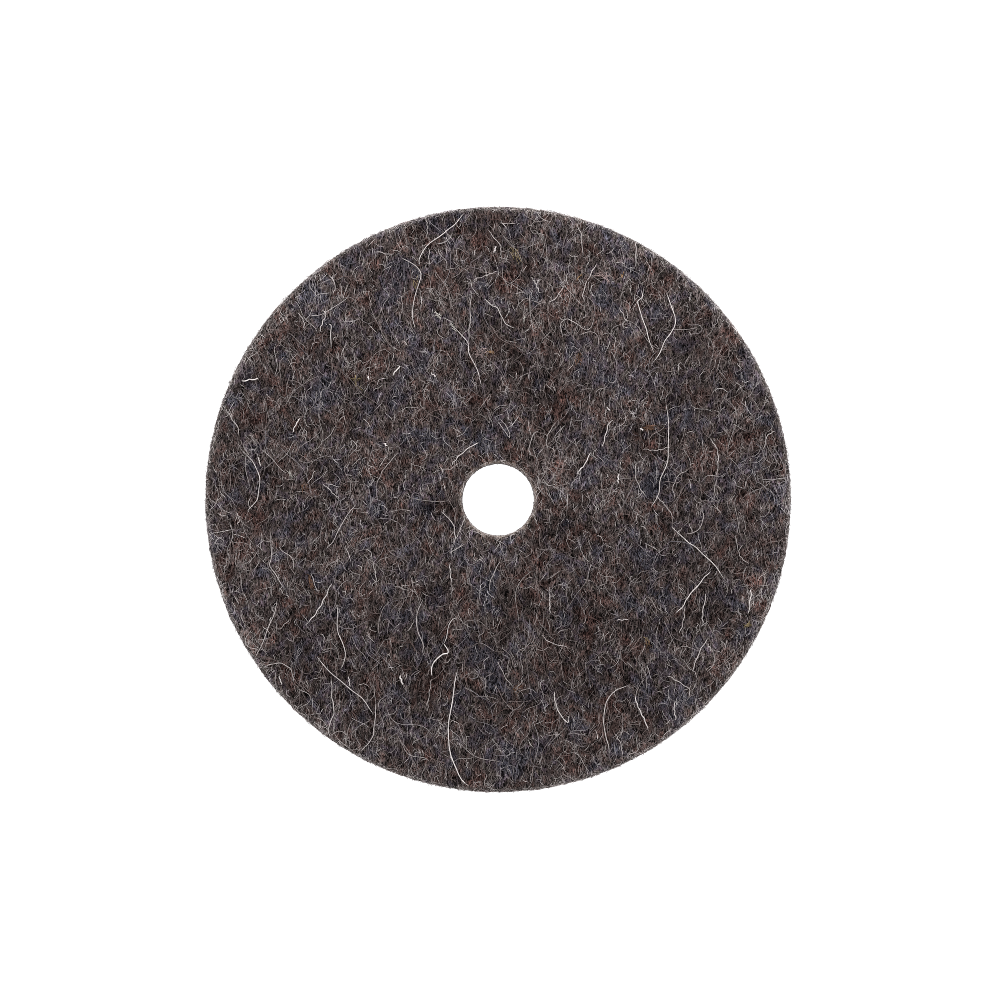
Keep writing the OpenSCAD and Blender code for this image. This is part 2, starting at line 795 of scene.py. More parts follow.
RELIEF = Relief()
EDGE_WEAR_LIGHT_AND_SHADE = EdgeWearLightAndShade()
DYE_CLUMPS = DyeClumps()
CLOUDS_AND_PAINTED_EDGE_LIGHT = CloudsAndPaintedEdgeLight()


@dataclass(frozen=True)
class Batch:
    """Closed fibres of one make: their points, the triangles of one fibre, and each one's shade and dye."""

    points: np.ndarray
    corners: np.ndarray
    shade: np.ndarray
    dye: np.ndarray

    @classmethod
    def along(cls, paths: np.ndarray, radii: np.ndarray, up: np.ndarray, shade: np.ndarray, dye: np.ndarray,
              sides: int = TRIANGLE) -> "Batch":
        """Makes a fibre along each path.

        Args:
            paths: Paths, as fibre, station and x, y, z.
            radii: Radius of each fibre, or of each fibre at each station.
            up: A direction across each fibre.
            shade: Shade of each fibre.
            dye: Dye number of each fibre.
            sides: Points round each fibre.

        Returns:
            The fibres.
        """
        return cls(tube_points(paths, radii, sides, up), tube_corners(paths.shape[1], sides), shade, dye)

    def picked(self, chosen: np.ndarray) -> "Batch":
        """The chosen fibres alone."""
        return Batch(self.points[chosen], self.corners, self.shade[chosen], self.dye[chosen])


def lay_fibres(name: str, batches: list[Batch], material: bpy.types.Material) -> bpy.types.Object:
    """Makes one piece of several batches, with each fibre's triangles moved up to its own first point.

    Args:
        name: Name of the piece.
        batches: The fibres.
        material: Finish of the wool.

    Returns:
        The piece.
    """
    corners, start = [], 0
    for batch in batches:
        count, each = batch.points.shape[:2]
        first = start + np.arange(count) * each
        corners.append((batch.corners[None] + first[:, None, None]).reshape(-1, TRIANGLE))
        start += count * each
    points = np.concatenate([batch.points.reshape(-1, 3) for batch in batches])
    piece = make_mesh(name, points, np.concatenate(corners))
    for label in ("shade", "dye"):
        values = [np.repeat(getattr(batch, label), batch.points.shape[1]) for batch in batches]
        mark(piece, label, np.concatenate(values))
    settle(piece, material)
    return piece


class Tone(Enum):
    """Tones that loose wool is sorted into, darkest first, and the shade that each one ends at."""

    COAL = 0.03
    SOOT = 0.10
    DARK = 0.18
    DUSKY = 0.27
    SLATE = 0.37
    MIDDLE = 0.47
    ASH = 0.58
    PALE = 0.72
    CREAM = 1.0


class Tint(Enum):
    """Tints that loose wool is sorted into, and the dye number that each one ends at."""

    RUSTY = 0.25
    BROWN = 0.50
    MIXED = 0.75
    BLUE = 1.0


@dataclass
class LooseWool:
    """All the loose fibres of the wheel, sorted so that each piece is of nearly one colour.

    The sorting is for the baked textures alone. They have far less than a texel for each fibre, so a fibre
    is shown there in its neighbours' colour. It changes no fibre and no finish.
    """

    batches: list[Batch]

    def sort(self, batch: Batch) -> tuple[np.ndarray, np.ndarray]:
        """Places of each fibre's tone and tint in their lists: how many limits its number has passed.

        Args:
            batch: The fibres.

        Returns:
            Number of the tone and number of the tint.
        """
        tones = np.searchsorted([tone.value for tone in list(Tone)[:-1]], batch.shade, side="right")
        tints = np.searchsorted([tint.value for tint in list(Tint)[:-1]], batch.dye, side="right")
        return tones, tints

    def build(self, material: bpy.types.Material) -> list[bpy.types.Object]:
        """Makes a piece for each tone and tint that has any fibres.

        Args:
            material: Finish of the wool.

        Returns:
            The pieces, darkest first.
        """
        sorted_batches = [(batch, *self.sort(batch)) for batch in self.batches]
        pieces = []
        for tone_place, tone in enumerate(Tone):
            for tint_place, tint in enumerate(Tint):
                chosen = [batch.picked((tones == tone_place) & (tints == tint_place))
                          for batch, tones, tints in sorted_batches]
                if any(len(batch.shade) for batch in chosen):
                    name = f"{tint.name.lower()}_{tone.name.lower()}_wool"
                    pieces.append(lay_fibres(name, chosen, material))
        return pieces


@dataclass
class NapLayer:
    """One layer of loose fibres that lie on a side, mostly along one heading."""

    name: str
    skin: Skin
    seed: int
    count: int
    lift: float
    shade: float
    length: float = 2.1 * MM
    radius: float = 0.042 * MM
    heading: float = np.pi / 2
    lean: float = 0.42
    stray_share: float = 0.23
    bend: float = 1.5
    shade_spread: float = 0.22
    stations: int = 5
    waver: float = 0.5
    length_spread: float = 0.38
    stoutness: tuple[float, float] = (0.65, 1.35)
    arching: tuple[float, float] = (0.3, 1.7)
    free_ends: float = 0.2
    free_share: float = 0.6
    sunk: float = 0.06 * MM
    dye_stray: float = 0.035
    shortenings: int = 5
    shortening: float = 0.6

    def trace(self, rng: np.random.Generator) -> tuple[np.ndarray, np.ndarray, np.ndarray]:
        """Paths of the fibres on the flat side, shortened until both ends lie on it.

        A fibre's heading is its start plus an even bend and a sine waver. Equal steps along the heading are
        added up and centred on the fibre's own place.

        Args:
            rng: Source of the draws.

        Returns:
            Distances across and along at each station, and which fibres fit.
        """
        across, along = self.skin.scatter(self.count, rng)
        stray = rng.random(self.count) < self.stray_share
        heading = self.heading + rng.normal(0, self.lean, self.count)
        heading = np.where(stray, rng.uniform(0, np.pi, self.count), heading)
        bend = rng.normal(0, self.bend, self.count)
        waver = rng.normal(0, self.waver, self.count)
        phase = rng.uniform(0, 2 * np.pi, self.count)
        length = self.length * np.exp(rng.normal(0, self.length_spread, self.count))
        share = (np.arange(self.stations - 1) + 0.5) / (self.stations - 1)
        course = heading[:, None] + bend[:, None] * (share - 0.5)
        course = course + waver[:, None] * np.sin(2 * np.pi * share + phase[:, None])
        steps = np.stack([np.cos(course), np.sin(course)], -1)
        walk = np.concatenate([np.zeros((self.count, 1, 2)), np.cumsum(steps, 1)], 1) / (self.stations - 1)
        walk -= walk.mean(1, keepdims=True)
        for _ in range(self.shortenings):
            path = np.stack([across, along], -1)[:, None] + walk * length[:, None, None]
            fits = self.skin.holds(path[..., 0], path[..., 1]).all(1)
            length = np.where(fits, length, length * self.shortening)
        return path[..., 0], path[..., 1], fits

    def heights(self, rng: np.random.Generator) -> np.ndarray:
        """Height of each station: a low arch whose ends are sunk, or now and then free.

        Args:
            rng: Source of the draws.

        Returns:
            Heights over the felt, as fibre and station.
        """
        share = np.linspace(0, 1, self.stations)
        arch = self.lift * rng.uniform(*self.arching, self.count)
        free = rng.random((self.count, 2)) < self.free_ends
        ends = np.where(free, self.free_share * self.lift, -self.sunk)
        base = ends[:, :1] * (1 - share) + ends[:, 1:] * share
        return base + arch[:, None] * 4 * share * (1 - share)

    def fibres(self) -> Batch:
        """Makes the layer's fibres and gives each its shade and dye.

        Returns:
            The fibres.
        """
        rng = np.random.default_rng(self.seed)
        across, along, fits = self.trace(rng)
        height = self.heights(rng)
        radii = self.radius * rng.uniform(*self.stoutness, self.count)
        shade = np.clip(rng.normal(self.shade, self.shade_spread, self.count), 0, 1)
        stray = rng.normal(0, self.dye_stray, self.count)
        paths = self.skin.place(across, along, height)[fits]
        middle = self.stations // 2
        up = self.skin.normal(across[:, middle])[fits]
        dye = DYE_CLUMPS.at(paths[:, middle], stray[fits], self.skin.size)
        shade = np.clip(shade[fits] + CLOUDS_AND_PAINTED_EDGE_LIGHT.on_fibres(paths[:, middle], self.skin.size), 0, 1)
        log.info("%s: %d fibres", self.name, len(paths))
        return Batch.along(paths, radii[fits], up, shade, dye)


@dataclass
class Fuzz:
    """Short ends that stand off a side, where the die cut through the fibres."""

    name: str
    skin: Skin
    seed: int
    count: int
    length: float
    shade: float
    dye: float = RIM_DYE
    radius: float = 0.035 * MM
    corner_share: float = 0.6
    corner_band: float = 0.5 * MM
    stations: int = 5
    length_range: tuple[float, float] = (0.4, 1.6)
    lean: float = 0.9
    rise: tuple[float, float] = (0.25, 0.9)
    droop: float = 0.35
    drift: tuple[float, float] = (0.4, 0.6)
    sunk: float = 0.08 * MM
    edge_gap: float = 0.02 * MM
    shade_spread: float = 0.13
    dye_spread: float = 0.2
    stoutness: tuple[float, float] = (0.7, 1.3)

    def roots(self, rng: np.random.Generator) -> tuple[np.ndarray, np.ndarray]:
        """Places of the ends: a share is drawn close to the two soft corners, by a folded normal draw.

        Args:
            rng: Source of the draws.

        Returns:
            The distances across and along the side.
        """
        across, along = self.skin.scatter(self.count, rng)
        half = self.skin.size.half_thickness
        near = half - np.abs(rng.normal(0, self.corner_band, self.count))
        crowded = rng.random(self.count) < self.corner_share
        return across, np.where(crowded, np.sign(along) * near, along)

    def fibres(self) -> Batch:
        """Makes the ends: each leans off the side and curls over by the square of the share along it.

        Returns:
            The ends.
        """
        rng = np.random.default_rng(self.seed)
        across, along = self.roots(rng)
        share = np.linspace(0, 1, self.stations)
        length = self.length * rng.uniform(*self.length_range, self.count)
        lean = rng.normal(0, self.lean, (2, self.count))
        rise = rng.uniform(*self.rise, self.count)
        height = (length * rise)[:, None] * (share - self.droop * share**2) - self.sunk
        drift = length[:, None] * (self.drift[0] * share + self.drift[1] * share**2)
        edge = self.skin.size.half_thickness - self.edge_gap
        aside = np.clip(along[:, None] + lean[1][:, None] * drift, -edge, edge)
        paths = self.skin.place(across[:, None] + lean[0][:, None] * drift, aside, height)
        up = np.cross(paths[:, -1] - paths[:, 0], self.skin.normal(across))
        shade = np.clip(rng.normal(self.shade, self.shade_spread, self.count), 0, 1)
        dye = np.clip(rng.normal(self.dye, self.dye_spread, self.count), 0, 1)
        radii = self.radius * rng.uniform(*self.stoutness, self.count)
        log.info("%s: %d fibres", self.name, len(paths))
        return Batch.along(paths, radii, up, shade, dye)


# Long guard hairs on the front face: points across and up, then width, in millimetres, then paleness.
LONG_HAIRS: tuple[tuple[tuple[tuple[float, float], ...], float, float], ...] = (
    (((29, 17), (29.7, 13), (29.5, 9), (29.3, 6), (28.2, 3.5), (27.8, 1), (26.3, -2)), 0.20, 0.82),
    (((30, -4.5), (32, -6.5), (33.5, -7.8), (35, -9), (37.5, -11.3), (39.8, -14.5)), 0.19, 0.86),
    (((37, -12.3), (35.5, -14), (33.3, -16.5), (32.3, -18.2), (30.7, -20)), 0.20, 0.92),
    (((-7, -29.5), (-7.7, -33), (-8.4, -38), (-8.7, -41), (-8, -45), (-6.7, -48), (-5, -50)), 0.24, 0.93),
    (((-9.5, -25), (-8.7, -26.5), (-9.7, -27), (-11.3, -28.5), (-11.5, -31)), 0.26, 0.97),
    (((-6.9, -20.4), (-8.5, -21.5), (-8.9, -24), (-9.5, -25)), 0.17, 0.80),
    (((-11.5, -31), (-12, -34), (-12.3, -37)), 0.15, 0.68),
    (((29, 36.5), (30, 34), (30.8, 31), (30, 29), (29, 27.5), (28, 25.3), (26.6, 23.4)), 0.20, 0.88),
    (((25, 36.5), (25, 35), (24.2, 34.2), (25.1, 31.5), (26, 28.5), (27, 25.6)), 0.19, 0.88),
    (((-5.8, 49.7), (-7.5, 47.8), (-9.3, 46.4), (-12, 44.3), (-13.6, 42), (-13.8, 40.5)), 0.20, 0.84),
    (((-17, 42), (-15, 41), (-13.7, 40), (-13.5, 38), (-14.6, 35), (-14.8, 31), (-14.3, 29.5)), 0.17, 0.80),
    (((-8.2, 30.5), (-6, 28.3), (-5.2, 26.8), (-4.9, 25), (-3.4, 22), (-2.8, 19.3)), 0.18, 0.80),
    (((-4.7, 36.5), (-4.9, 31), (-5.2, 27)), 0.16, 0.72),
    (((-44.8, 9), (-42.6, 6.5), (-41.5, 4), (-41.6, 1), (-42.4, -0.8), (-43.7, -2.1)), 0.18, 0.84),
    (((-41.7, 7.4), (-41.2, 5.7)), 0.20, 0.92),
    (((-44.6, 20.5), (-43, 20.8), (-41.5, 20.9)), 0.24, 0.99),
    (((-34.4, 14.2), (-35, 13.2), (-35.8, 11.5)), 0.22, 0.93),
    (((-28.8, -14.3), (-30.2, -17.3), (-31.8, -20), (-33.6, -22)), 0.20, 0.88),
    (((-27.7, -18), (-28, -22), (-27, -25), (-26.5, -27.5), (-27.4, -29.5)), 0.19, 0.82),
    (((-31.5, -27), (-30.2, -29), (-28, -31), (-25.5, -33), (-23.3, -35), (-21.4, -37.5)), 0.18, 0.84),
    (((-21.1, -35), (-21.4, -38), (-21.6, -40.5), (-22.6, -42.5), (-24, -43.7)), 0.18, 0.76),
    (((-38.3, -17.5), (-39.3, -21), (-41, -25), (-42.3, -28)), 0.16, 0.78),
    (((-41, -29.4), (-39, -28.5), (-37, -28.7), (-35.8, -30), (-35.5, -32)), 0.16, 0.72),
    (((-38.1, -30.5), (-37.5, -32.3)), 0.24, 0.84),
    (((-29, -30.5), (-28.8, -34.5), (-28.5, -37), (-29.4, -39.5), (-29.3, -41.3)), 0.18, 0.80),
    (((-26, -30.6), (-25.7, -32.5)), 0.22, 0.84),
    (((-17.1, -30.5), (-16.5, -32.3)), 0.30, 0.99),
    (((9.7, -33), (9.9, -35), (10.6, -37), (12, -38.7), (12.4, -37.4)), 0.20, 0.92),
    (((23.7, -33.8), (24.3, -36), (25.3, -38), (26.2, -40.3)), 0.21, 0.93),
    (((22.8, -32.2), (20.8, -33), (18.8, -35), (18.4, -38), (18.6, -41), (19.3, -43), (19.1, -44.3)),
     0.18, 0.80),
    (((20.2, -40.5), (21.3, -42.5), (21.6, -45)), 0.16, 0.70),
    (((30.7, -35), (30.6, -36.5), (30.9, -38.4)), 0.21, 0.88),
    (((36.2, -16), (35.5, -20), (35.6, -21.8)), 0.19, 0.80),
    (((36.6, -24), (35.2, -26), (34, -29), (33.9, -30)), 0.18, 0.78),
    (((43.9, -15.5), (43.8, -17.5), (43.4, -20)), 0.21, 0.92),
    (((29.3, -30.5), (31, -31.5), (33.2, -33), (33, -34.5)), 0.16, 0.72),
    (((20, 13.9), (19.2, 13), (18.6, 11), (18, 8.5)), 0.19, 0.84),
    (((16.2, 8.5), (15, 6), (14, 4.9), (13.8, 4.3)), 0.21, 0.96),
    (((-3.2, 9.9), (-5, 9), (-7, 7.3), (-8.2, 5.8)), 0.18, 0.88),
    (((0.2, 14), (1.4, 12.8), (2, 11.2), (2, 10.6)), 0.14, 0.68),
    (((0, 13.5), (2, 10.6)), 0.14, 0.74),
    (((7, 12), (6, 11), (5.4, 9), (5.7, 7.5)), 0.16, 0.68),
    (((10, 13.4), (8.8, 11.5), (8.4, 10), (8.8, 8)), 0.15, 0.66),
    (((12.1, 1), (12, -1.2)), 0.16, 0.74),
    (((-10, -2), (-8, -4), (-7.5, -6), (-7.6, -8)), 0.17, 0.76),
    (((-5.6, -2.8), (-6.5, -5), (-7.5, -7.3)), 0.15, 0.72),
    (((-5.8, -7.8), (-8.5, -9.3)), 0.15, 0.70),
    (((-8.4, -11), (-8.1, -14.5)), 0.19, 0.84),
    (((0.5, -10.5), (-1, -13.3), (-1.6, -16)), 0.16, 0.72),
    (((8.9, -16), (9, -20)), 0.18, 0.80),
    (((23.9, 6.5), (24, 3.5), (25.5, 0.5)), 0.17, 0.76),
    (((37, 10.5), (38.2, 8), (38, 4)), 0.17, 0.76),
    (((20.9, 4.5), (20.8, 2.7)), 0.24, 0.90),
    (((35.4, -1.2), (35.6, -3.5), (34.5, -5.5), (32.5, -6)), 0.15, 0.66),
    (((25, 8.8), (27.5, 8.5), (30, 9.2)), 0.14, 0.66),
    (((48.2, 12), (46.8, 11), (46, 8.5)), 0.16, 0.74),
    (((-24.5, -0.5), (-27, -4), (-28.5, -7), (-30, -8.8)), 0.16, 0.72),
    (((-30.5, 2.8), (-27.5, 0)), 0.16, 0.76),
    (((-39.4, -5), (-39.4, -9.5), (-39.6, -11.5), (-38.5, -13.3), (-36.8, -16)), 0.17, 0.74),
    (((-21.8, -10.5), (-21.3, -13), (-21.1, -15.3)), 0.16, 0.74),
    (((-30.5, 33), (-30, 32), (-30.6, 30.5), (-31, 29)), 0.18, 0.84),
    (((-29.3, 30.6), (-29, 29.5), (-29.1, 26)), 0.18, 0.84),
    (((-35, 32.5), (-34, 31.5), (-33.7, 30.3), (-33.8, 29.3)), 0.16, 0.76),
    (((-29.5, 39), (-28.5, 38), (-28.4, 36.5), (-28.7, 35.6)), 0.16, 0.74),
    (((-18.4, 21.5), (-17, 23.2)), 0.26, 0.97),
    (((13.7, 48), (14.5, 45.5), (14.7, 42)), 0.16, 0.70),
    (((17.2, 41), (16, 39), (14.8, 36), (15, 34)), 0.17, 0.76),
    (((23.8, 44.7), (24, 42.5), (23.8, 40.3)), 0.18, 0.78),
    (((-2.5, 35), (-1.5, 34), (0, 33), (1.3, 30.5), (3, 29.8)), 0.17, 0.76),
    (((11.5, 37.3), (10.5, 35.5), (9.3, 34.5), (8.5, 34)), 0.16, 0.74),
    (((5.7, 38.7), (6.5, 37.5), (7.3, 35.7)), 0.17, 0.76),
    (((-0.1, 39.7), (-2, 38.9), (-4.4, 38.1)), 0.14, 0.70),
    (((-0.4, 44), (-0.7, 42.8)), 0.24, 0.88),
    (((-13, -17), (-14, -20), (-14, -23), (-13, -25), (-12.8, -27)), 0.16, 0.70),
    (((7.5, -23.5), (9, -24.8), (12.5, -25.8)), 0.15, 0.68),
    (((0, -28), (1, -30.5), (2.6, -32.5)), 0.15, 0.66),
    (((32.4, -18.5), (32.2, -21), (31.4, -23.5)), 0.16, 0.72),
    (((33.2, 5.3), (31.2, 4), (30.4, 2), (30.7, 0)), 0.15, 0.68),
    (((27.5, 0.5), (29, -1), (30.7, -3.5)), 0.15, 0.70),
    (((17, 33), (16.2, 30), (14.8, 29.6), (13, 31), (11.5, 31.2), (10.8, 30), (11.5, 27.5)), 0.15, 0.68),
    (((21, 33.5), (22, 31.5), (22.6, 30.7)), 0.16, 0.70),
    (((-47.2, 15.7), (-46.7, 14.7), (-45.3, 12.6), (-45, 11)), 0.16, 0.72),
    (((-17.3, 8.2), (-20, 5), (-21.3, 2)), 0.15, 0.66),
    (((-12.7, 49.2), (-12.3, 47.5), (-12.4, 45.2)), 0.16, 0.70),
    (((-12, 43.8), (-12, 40.5)), 0.15, 0.68),
    (((-2, 47), (-0.3, 45), (0.5, 43.8), (0.3, 42)), 0.16, 0.70),
    (((-21.7, 43.1), (-20, 42.8), (-18.3, 42.4)), 0.16, 0.70),
    (((42.6, -7.7), (41.8, -9), (42.3, -10.2), (43.7, -11.3)), 0.15, 0.68),
    (((6.2, -2.5), (6.8, -4.5)), 0.15, 0.70),
    (((-19.8, 9.8), (-19.3, 9.2)), 0.24, 0.92),
    (((-22.6, 21.5), (-22.5, 20.8)), 0.24, 0.90),
    (((18.9, 16), (19.5, 15.3)), 0.22, 0.88),
    (((24.7, 12.3), (25.2, 12)), 0.24, 0.92),
    (((-11.7, 22), (-10.7, 21.2)), 0.20, 0.84),
    (((20.5, -21), (22.7, -20.8)), 0.17, 0.80),
)


@dataclass
class GuardHairs:
    """Long pale hairs laid over the front nap, each along its own chosen points."""

    skin: Skin
    stations: int = 18
    sides: int = 5
    lift: float = 0.30 * MM
    stoutness: float = 0.78
    tremble: float = 0.08 * MM
    tremble_turns: tuple[float, float] = (1.5, 5.0)
    end_slope: float = 6.0
    uneven: tuple[float, float] = (0.8, 1.2)
    sunk: float = 0.02 * MM
    thinning: float = 0.55
    taper_power: int = 4
    dye_and_spread: tuple[float, float] = (0.5, 0.1)
    seed: int = 71

    def course(self, points: tuple[tuple[float, float], ...]) -> np.ndarray:
        """Smooth path through chosen points: a cubic for each pair, with slopes taken from the neighbours.

        Args:
            points: Chosen points, in millimetres.

        Returns:
            Even stations along the path, across and up.
        """
        knots = np.array(points) * MM
        slopes = np.gradient(knots, axis=0)
        spots = np.linspace(0, len(knots) - 1, self.stations)
        low = np.minimum(spots.astype(int), len(knots) - 2)
        t = (spots - low)[:, None]
        from_low = (1 + 2 * t) * (1 - t) ** 2 * knots[low] + t * (1 - t) ** 2 * slopes[low]
        from_high = t**2 * (3 - 2 * t) * knots[low + 1] + t**2 * (t - 1) * slopes[low + 1]
        return from_low + from_high

    def build(self, material: bpy.types.Material) -> bpy.types.Object:
        """Lays every chosen hair in a low arch over the nap.

        Args:
            material: Finish of the wool.

        Returns:
            The hairs as one piece.
        """
        rng = np.random.default_rng(self.seed)
        courses = np.stack([self.course(points) for points, _, _ in LONG_HAIRS])
        share = np.linspace(0, 1, self.stations)
        shape = (2, len(courses), 1)
        turns = rng.uniform(*self.tremble_turns, shape) * share + rng.random(shape)
        courses = courses + self.tremble * np.moveaxis(np.sin(2 * np.pi * turns), 0, -1)
        rise = self.lift * np.minimum(1, self.end_slope * np.minimum(share, 1 - share))
        height = rise * rng.uniform(*self.uneven, (len(courses), 1)) - self.sunk
        paths = self.skin.place(courses[..., 0], courses[..., 1], height)
        taper = 1 - self.thinning * np.abs(2 * share - 1) ** self.taper_power
        widths = np.array([width for _, width, _ in LONG_HAIRS])[:, None] * self.stoutness * MM
        shade = np.array([pale for _, _, pale in LONG_HAIRS])
        dye = np.clip(rng.normal(*self.dye_and_spread, len(shade)), 0, 1)
        radii = widths / 2 * taper
        up = self.skin.normal(courses[:, 0, 0])
        hairs = Batch.along(paths, radii, up, shade, dye, self.sides)
        return lay_fibres("front_guard_hairs", [hairs], material)


class Bit(Enum):
    """Kinds of odd bits felted into the front face, and the colour of their palest fibres."""

    STRAW = (0.50, 0.31, 0.165)
    OCHRE = (0.33, 0.255, 0.145)
    RUST = (0.185, 0.105, 0.072)
    PINK = (0.46, 0.35, 0.34)
    PALE = (0.66, 0.62, 0.58)


@dataclass(frozen=True)
class Tuft:
    """A small clump of short fibres: middle, half length and half width in millimetres, slant in degrees."""

    bit: Bit
    middle: tuple[float, float]
    reach: tuple[float, float]
    slant: float
    count: int


TUFTS: tuple[Tuft, ...] = (
    Tuft(Bit.STRAW, (-1.7, 25.6), (0.9, 0.08), 0, 9),
    Tuft(Bit.STRAW, (14.2, 38.8), (0.5, 0.08), 45, 3),
    Tuft(Bit.STRAW, (21.6, 38.8), (0.5, 0.15), 80, 4),
    Tuft(Bit.PINK, (-3.0, 25.3), (1.2, 0.9), 20, 26),
    Tuft(Bit.PINK, (18.3, 38.8), (0.9, 0.5), -20, 20),
    Tuft(Bit.PINK, (19, 37.9), (0.7, 0.1), 105, 6),
    Tuft(Bit.OCHRE, (-24.7, 20.5), (0.9, 0.2), 90, 7),
    Tuft(Bit.OCHRE, (-24.6, 20.9), (1.2, 0.1), 0, 5),
    Tuft(Bit.OCHRE, (-24.1, 19.4), (0.9, 0.15), 125, 4),
    Tuft(Bit.OCHRE, (43.3, -21.8), (0.5, 0.4), 30, 10),
    Tuft(Bit.OCHRE, (3.2, 42.7), (0.9, 0.8), 100, 18),
    Tuft(Bit.OCHRE, (-14.4, 37.2), (1.0, 0.6), 90, 5),
    Tuft(Bit.OCHRE, (26.1, -25.0), (1.4, 0.4), 90, 3),
    Tuft(Bit.RUST, (-33.7, 2), (0.8, 0.6), 60, 7),
    Tuft(Bit.RUST, (-32.5, -14.5), (1.2, 0.4), 105, 20),
    Tuft(Bit.RUST, (26.2, 12.4), (0.6, 0.5), 0, 24),
    Tuft(Bit.RUST, (26, -25.3), (1.3, 0.5), 90, 11),
    Tuft(Bit.RUST, (14, 24.5), (1.0, 0.8), 90, 12),
    Tuft(Bit.RUST, (3, -33), (0.7, 0.5), 20, 8),
    Tuft(Bit.PALE, (-10.2, 31.8), (0.8, 0.2), 125, 8),
    Tuft(Bit.PALE, (-7.9, 30.1), (1.2, 0.2), 128, 7),
    Tuft(Bit.PALE, (4.5, 31.2), (0.8, 0.15), 80, 6),
    Tuft(Bit.PALE, (-36.3, 4.6), (0.5, 0.3), 110, 8),
)


@dataclass
class BitSet:
    """All the tufts of one kind on the front face, as one piece."""

    skin: Skin
    bit: Bit
    seed: int = 81
    length: float = 1.5 * MM
    radius: float = 0.048 * MM
    stations: int = 5
    scatter: float = 0.55
    lean: float = 0.4
    bend: float = 0.8
    lift: tuple[float, float] = (0.10 * MM, 0.24 * MM)
    middle_tone: float = 0.42
    darkest_tone: float = 0.08
    length_range: tuple[float, float] = (0.5, 1.5)
    stoutness: tuple[float, float] = (0.7, 1.3)
    shades: tuple[float, float] = (0.35, 1.0)
    dye: float = 0.5
    end_fall: float = 3.0

    def build(self) -> bpy.types.Object:
        """Lays short fibres about each tuft's middle, along its slant.

        Places are normal draws over the half length and half width, turned by the slant.

        Returns:
            The tufts as one piece.
        """
        rng = np.random.default_rng(self.seed)
        tufts = [tuft for tuft in TUFTS if tuft.bit is self.bit]
        counts = [tuft.count for tuft in tufts]
        slant = np.repeat(np.radians([tuft.slant for tuft in tufts]), counts)
        reach = np.repeat(np.array([tuft.reach for tuft in tufts]), counts, axis=0) * MM
        middle = np.repeat(np.array([tuft.middle for tuft in tufts]), counts, axis=0) * MM
        spot = rng.normal(0, self.scatter, (len(slant), 2)) * reach
        cosine, sine = np.cos(slant), np.sin(slant)
        across = middle[:, 0] + cosine * spot[:, 0] - sine * spot[:, 1]
        along = middle[:, 1] + sine * spot[:, 0] + cosine * spot[:, 1]
        share = np.linspace(-0.5, 0.5, self.stations)
        course = slant + rng.normal(0, self.lean, len(slant))
        course = course[:, None] + rng.normal(0, self.bend, (len(slant), 1)) * share
        walk = share * self.length * rng.uniform(*self.length_range, (len(slant), 1))
        across = across[:, None] + walk * np.cos(course)
        along = along[:, None] + walk * np.sin(course)
        height = rng.uniform(*self.lift, (len(slant), 1)) * (1 - self.end_fall * share**2)
        paths = self.skin.place(across, along, height)
        radii = self.radius * rng.uniform(*self.stoutness, len(slant))
        shade = rng.uniform(*self.shades, len(slant))
        up = self.skin.normal(across[:, 0])
        name = f"front_{self.bit.name.lower()}_bits"
        palest = self.bit.value
        middle_colour = tuple(self.middle_tone * channel for channel in palest)
        darkest = tuple(self.darkest_tone * channel for channel in palest)
        finish = WoolFinish(f"{self.bit.name.lower()}_wool", darkest, middle_colour, palest)
        fibres = Batch.along(paths, radii, up, shade, np.full(len(shade), self.dye))
        return lay_fibres(name, [fibres], finish.build())


